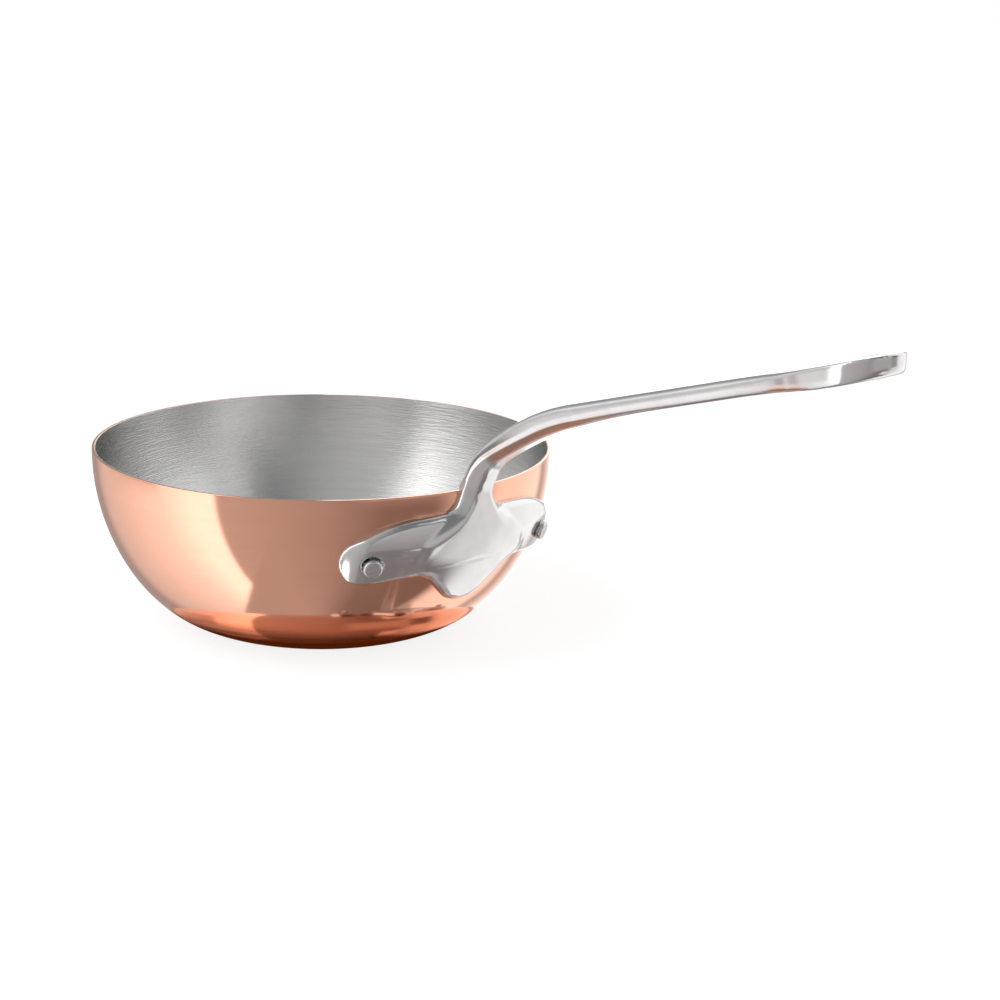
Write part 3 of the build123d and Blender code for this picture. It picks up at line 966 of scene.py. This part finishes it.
def handleField(points):
    x, y, z = points[:, 0], np.abs(points[:, 1]), points[:, 2]
    body, sides, face, width = spineField(x, y, z)
    near = x < plate["farEnd"]
    bracket, apron, trim, outline, cove = plateField(x[near], y[near], z[near], face[near], width[near])
    spine = np.minimum(np.maximum(body[near], trim), apron)
    # the hollow corner beside the spine is filled, but no higher than its face
    filled = smoothMax(smoothMin(sides[near], bracket, cove), trim, plate["coveEdge"])
    body[near] = np.minimum(np.minimum(spine, bracket), np.maximum(filled, outline))
    offset, _, _ = wallCoordinates(np.hypot(x, y), z)
    body = np.maximum(body, -offset - plate["sunk"] * (1 - smoothStep(*plate["sunkFrom"], z)))
    body = np.where(near, np.maximum(body, -rivetPocket(x, y, z)), body)
    holed = smoothMax(body, -hangingSlot(x, y, z), bar["holeEdge"])
    return np.where(x > bar["holeFrom"], holed, body)


# The field at every node of a fine grid: worked out near the surface, a plain sign elsewhere
def sampledField():
    step, coarse = skin["step"], skin["coarse"]
    wide = step * coarse
    counts = [int(round(size / wide)) for size in skin["size"]]
    axes = [skin["low"][i] + wide * (np.arange(counts[i]) + 0.5) for i in range(3)]
    centres = np.stack(np.meshgrid(*axes, indexing="ij"), -1).reshape(-1, 3)
    rough = handleField(centres).reshape(counts)
    near = np.abs(rough) < skin["band"]
    values = np.where(rough < 0, -skin["plain"], skin["plain"]).astype(np.float32)
    near = near.repeat(coarse, 0).repeat(coarse, 1).repeat(coarse, 2)
    values = values.repeat(coarse, 0).repeat(coarse, 1).repeat(coarse, 2)
    nodes = np.argwhere(near)
    points = np.array(skin["low"]) + step * (nodes + 0.5)
    values[near] = np.concatenate([handleField(part) for part in np.array_split(points, skin["batches"])])
    return values


# One vertex in each cell that the surface crosses, and a quad round each edge that it crosses
def quadSkin(values):
    shape = np.array(values.shape) - 1
    inside = values < 0

    def corner(grid, offset):
        return grid[tuple(slice(o, o + n) for o, n in zip(offset, shape))]

    corners = list(product((0, 1), repeat=3))
    count = sum(corner(inside, c).astype(np.int8) for c in corners)
    active = (count > 0) & (count < 8)
    cells = np.argwhere(active)
    number = np.full(tuple(shape), -1, np.int32)
    number[active] = np.arange(len(cells))
    total = np.zeros((len(cells), 3))
    crossings = np.zeros(len(cells))
    for first, second in product(corners, repeat=2):
        step = np.array(second) - np.array(first)
        if step.sum() != 1 or step.min() < 0:
            continue
        a = corner(values, first)[active]
        b = corner(values, second)[active]
        crossed = (a < 0) != (b < 0)
        share = np.where(crossed, a / np.where(crossed, a - b, 1), 0)
        total += crossed[:, None] * (np.array(first) + share[:, None] * step)
        crossings += crossed
    vertices = cells + total / crossings[:, None]
    quads = []
    for axis in range(3):
        u, v = (axis + 1) % 3, (axis + 2) % 3
        below = [slice(1, n) for n in shape]
        above = [slice(1, n) for n in shape]
        below[axis], above[axis] = slice(0, shape[axis]), slice(1, shape[axis] + 1)
        low, high = inside[tuple(below)], inside[tuple(above)]
        for outward in (True, False):
            found = np.argwhere(low & ~high if outward else high & ~low)
            found[:, u] += 1
            found[:, v] += 1
            ring = []
            for du, dv in ((-1, -1), (0, -1), (0, 0), (-1, 0)):
                cell = found.copy()
                cell[:, u] += du
                cell[:, v] += dv
                ring.append(number[tuple(cell.T)])
            quads.append(np.stack(ring if outward else ring[::-1], 1))
    return vertices, np.concatenate(quads)


# Draws each vertex onto the surface along the field's gradient
def settled(points):
    reach = skin["probe"]
    for _ in range(skin["rounds"]):
        slope = np.stack([
            (handleField(points + reach * axis) - handleField(points - reach * axis)) / (2 * reach)
            for axis in np.eye(3)
        ], 1)
        size = np.clip((slope ** 2).sum(1), skin["leastSlope"], None)
        move = -(handleField(points) / size)[:, None] * slope
        length = np.linalg.norm(move, axis=1)[:, None]
        points = points + move * np.minimum(1, skin["limit"] / np.maximum(length, 1e-9))
    return points


def makeHandle():
    vertices, quads = quadSkin(sampledField())
    vertices = np.array(skin["low"]) + skin["step"] * (vertices + 0.5)
    vertices = settled(vertices)
    mesh = bpy.data.meshes.new("cast_handle")
    mesh.from_pydata((vertices * mm).tolist(), [], quads.tolist())
    mesh.materials.append(materials["castSteel"])
    mesh.polygons.foreach_set("use_smooth", [True] * len(mesh.polygons))
    mesh.update()
    return placed("cast_handle", mesh)


castHandle = makeHandle()
print("handle cast:", len(castHandle.data.polygons), "faces")


# Each piece takes the place of its CAD node and rides on the body

for piece, nodes, slot in (
    (copperBowl, ("copper_shell",), "copper"),
    (steelLiner, ("steel_lining",), "lining_steel"),
    (castHandle, ("handle",), "cast_steel"),
    (rivets, ("rivet_left", "rivet_right"), "rivet_steel"),
):
    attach(piece, "root")
    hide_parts(*nodes)


# Studio: a pale floor, and a tent of soft boxes that the metal mirrors

studio = {
    "floorReach": 6.0,  # metres
    "floorColour": (0.80, 0.80, 0.80),
    "floorGlow": 0.86,  # for the camera, so that the lit floor is white and the shadow stays
    "floorPaint": 0.22,
    "sheen": 0.92,  # of the polished table top, as the metal sees it
    "sheenRoughness": 0.02,
    "shadeTone": 0.34,  # of the sheen under the painted shade round the pan's foot
    "shadeMiddle": (0.006, -0.010, 0.0),
    "shade": (0.060, 0.067),  # metres from that middle, where the painted shade fades out
    "paintedTableGlow": (0.05, 0.014, 0.003),  # painted warm glow of the table top, which the metal mirrors
    "strength": 2.0,
    # azimuth from the camera's side, to the right, and brightness of the tent there
    "tent": (
        (-180, 0.18), (-152, 0.21), (-140, 0.40), (-110, 0.57), (-88, 0.71), (-66, 0.98), (-55, 0.98),
        (-53, 0.32), (-30, 0.28), (0, 0.23), (15, 0.18), (30, 0.12), (84, 0.10), (92, 0.50),
        (98, 0.62), (136, 0.70), (144, 0.27), (180, 1.0),
    ),
    "boxTops": ((-102.0, 66.5), (112.0, 64.0)),  # azimuth and elevation of each box's top edge
    "topBlur": 0.03,
    "overhead": 0.27,  # no brighter than this above them
    # panels over the tent: azimuths where each fades in and out, elevations likewise, and brightness
    "panels": {
        "horizon": ((10.0, 24.0), (62.0, 74.0), (-30.0, -20.0), (7.0, 19.0), 0.29),
        "leftSide": ((-136.0, -122.0), (-92.0, -84.0), (-30.0, -20.0), (9.0, 19.0), 0.38),
        "rightSide": ((44.0, 50.0), (60.0, 70.0), (20.0, 28.0), (36.0, 44.0), 0.55),
        "handleSide": ((54.0, 80.0), (88.0, 98.0), (10.0, 14.0), (40.0, 50.0), 0.50),
        "backLeft": ((-182.0, -181.0), (-152.0, -138.0), (48.0, 56.0), (76.0, 86.0), 0.10),
        "backRight": ((134.0, 148.0), (181.0, 182.0), (48.0, 56.0), (76.0, 86.0), 0.10),
    },
    "keyPlace": (-0.2, -0.9, 1.5),
    "keyAim": (0.05, 0.0, 0.05),
    "keySize": 0.9,
    "keyPower": 8.0,
}


# The table top as the metal mirrors it, with painted shade round the pan's foot
def tableShine(tree):
    spot = addNode(tree, "ShaderNodeTexCoord", (-6, -3)).outputs["Object"]
    away = addNode(tree, "ShaderNodeVectorMath", (-5, -3), {0: spot, 1: studio["shadeMiddle"]},
                   operation="DISTANCE").outputs["Value"]
    start, end = studio["shade"]
    # painted shade: the mirror's colour is dimmed near a point beside the pan's foot
    sheen = addNode(tree, "ShaderNodeMapRange", (-4, -3), {
        "Value": away, "From Min": start, "From Max": end,
        "To Min": studio["shadeTone"], "To Max": studio["sheen"]}, interpolation_type="SMOOTHSTEP")
    mirror = addNode(tree, "ShaderNodeBsdfGlossy", (-3, -3), {
        "Color": sheen.outputs[0], "Roughness": studio["sheenRoughness"]})
    # painted warm glow on the table top, seen only in the metal's reflections
    glow = addNode(tree, "ShaderNodeEmission", (-3, -4), {"Color": (*studio["paintedTableGlow"], 1)})
    return addNode(tree, "ShaderNodeAddShader", (-2, -3), {0: mirror.outputs[0], 1: glow.outputs[0]})


def makeFloor():
    reach = studio["floorReach"]
    mesh = bpy.data.meshes.new("floor")
    mesh.from_pydata([(-reach, -reach, 0), (reach, -reach, 0), (reach, reach, 0), (-reach, reach, 0)],
                     [], [(0, 1, 2, 3)])
    floor = placed("floor", mesh)
    material = bpy.data.materials.new("floor")
    material.use_nodes = True
    tree = material.node_tree
    tree.nodes.clear()
    path = addNode(tree, "ShaderNodeLightPath", (-3, 2))
    paint = addNode(tree, "ShaderNodeBsdfDiffuse", (-3, 0), {0: (*studio["floorColour"], 1)})
    faint = addNode(tree, "ShaderNodeBsdfDiffuse", (-3, -1), {0: (*[studio["floorPaint"]] * 3, 1)})
    glow = addNode(tree, "ShaderNodeEmission", (-3, -2), {"Strength": studio["floorGlow"]})
    white = addNode(tree, "ShaderNodeAddShader", (-2, -1), {0: faint.outputs[0], 1: glow.outputs[0]})
    seen = addNode(tree, "ShaderNodeMixShader", (-1, 0), {
        0: path.outputs["Is Camera Ray"], 1: paint.outputs[0], 2: white.outputs[0]})
    both = addNode(tree, "ShaderNodeMixShader", (0, 0), {
        0: path.outputs["Is Glossy Ray"], 1: seen.outputs[0], 2: tableShine(tree).outputs[0]})
    output = addNode(tree, "ShaderNodeOutputMaterial", (1, 0))
    tree.links.new(both.outputs[0], output.inputs[0])
    mesh.materials.append(material)


# From 0 to 1 between two values, or the other way where the first is the higher
def fade(tree, value, start, end):
    return addNode(tree, "ShaderNodeMapRange", (-1, 4), {
        "Value": value, "From Min": start, "From Max": end}, interpolation_type="SMOOTHSTEP").outputs[0]


# Brightness of the soft boxes round the pan, by azimuth
def boxTone(tree, turn):
    share = addNode(tree, "ShaderNodeMapRange", (-3, 0), {
        "Value": turn, "From Min": -math.pi, "From Max": math.pi, "To Min": 0.0, "To Max": 1.0})
    ramp = addNode(tree, "ShaderNodeValToRGB", (-2, 0), {0: share.outputs[0]})
    stops = ramp.color_ramp.elements
    stops.remove(stops[1])
    for azimuth, value in studio["tent"]:
        stop = stops.new((azimuth + 180) / 360) if azimuth > -180 else stops[0]
        stop.color = (value, value, value, 1)
    return ramp.outputs[0]


# The same, dimmed above the boxes' straight top edges
def toppedTone(tree, tone, way, height, right, near):
    tops = []
    for azimuth, elevation in studio["boxTops"]:
        side, front = math.sin(math.radians(azimuth)), math.cos(math.radians(azimuth))
        facing = [(side * r + front * n) * math.tan(math.radians(elevation)) for r, n in zip(right, near)]
        top = addNode(tree, "ShaderNodeVectorMath", (-4, 3), {0: way, 1: facing}, operation="DOT_PRODUCT")
        tops.append(top.outputs["Value"])
    top = addMath(tree, "MAXIMUM", *tops, (-3, 3))
    past = addMath(tree, "SUBTRACT", height, top, (-2, 3))
    over = fade(tree, past, -studio["topBlur"], studio["topBlur"])
    dim = addMath(tree, "MINIMUM", tone, studio["overhead"], (-1, 2))
    return addNode(tree, "ShaderNodeMix", (0, 2), {0: over, 2: tone, 3: dim}).outputs[0]


def panelledTone(tree, tone, turn, height):
    for *spans, panelTone in studio["panels"].values():
        (a, b), (c, d), (e, f), (g, h) = [[math.radians(angle) for angle in pair] for pair in spans]
        inside = addMath(tree, "MULTIPLY", fade(tree, turn, a, b), fade(tree, turn, d, c), (-1, 3))
        inside = addMath(tree, "MULTIPLY", inside, fade(tree, height, math.sin(e), math.sin(f)), (0, 3))
        inside = addMath(tree, "MULTIPLY", inside, fade(tree, height, math.sin(h), math.sin(g)), (1, 3))
        tone = addNode(tree, "ShaderNodeMix", (1, 2), {0: inside, 2: tone, 3: panelTone}).outputs[0]
    return tone


def makeTent():
    world = bpy.data.worlds.new("studio")
    scene.world = world
    world.use_nodes = True
    tree = world.node_tree
    tree.nodes.clear()
    a = math.radians(shot["azimuth"])
    right = (math.cos(a), math.sin(a), 0)
    near = (math.sin(a), -math.cos(a), 0)
    way = addNode(tree, "ShaderNodeTexCoord", (-6, 0)).outputs["Generated"]
    aside = addNode(tree, "ShaderNodeVectorMath", (-5, 1), {0: way, 1: right}, operation="DOT_PRODUCT")
    ahead = addNode(tree, "ShaderNodeVectorMath", (-5, -1), {0: way, 1: near}, operation="DOT_PRODUCT")
    turn = addMath(tree, "ARCTAN2", aside.outputs["Value"], ahead.outputs["Value"], (-4, 0))
    height = addNode(tree, "ShaderNodeSeparateXYZ", (-4, 2), {0: way}).outputs[2]
    tone = toppedTone(tree, boxTone(tree, turn), way, height, right, near)
    tent = addNode(tree, "ShaderNodeBackground", (-1, 0), {
        "Color": panelledTone(tree, tone, turn, height), "Strength": studio["strength"]})
    white = addNode(tree, "ShaderNodeBackground", (-1, -1), {"Color": (1, 1, 1, 1), "Strength": 1.0})
    path = addNode(tree, "ShaderNodeLightPath", (-1, 2))
    both = addNode(tree, "ShaderNodeMixShader", (0, 0), {
        0: path.outputs["Is Camera Ray"], 1: tent.outputs[0], 2: white.outputs[0]})
    output = addNode(tree, "ShaderNodeOutputWorld", (1, 0))
    tree.links.new(both.outputs[0], output.inputs[0])


def makeKey():
    data = bpy.data.lights.new("key", "AREA")
    data.shape = "DISK"
    data.size = studio["keySize"]
    data.energy = studio["keyPower"]
    lamp = bpy.data.objects.new("key", data)
    lamp.location = studio["keyPlace"]
    aim = Vector(studio["keyAim"]) - lamp.location
    lamp.rotation_euler = aim.to_track_quat("-Z", "Y").to_euler()
    lamp.visible_glossy = False
    scene.collection.objects.link(lamp)


makeFloor()
makeTent()
makeKey()
scene.view_settings.view_transform = "Standard"
print("studio lit")
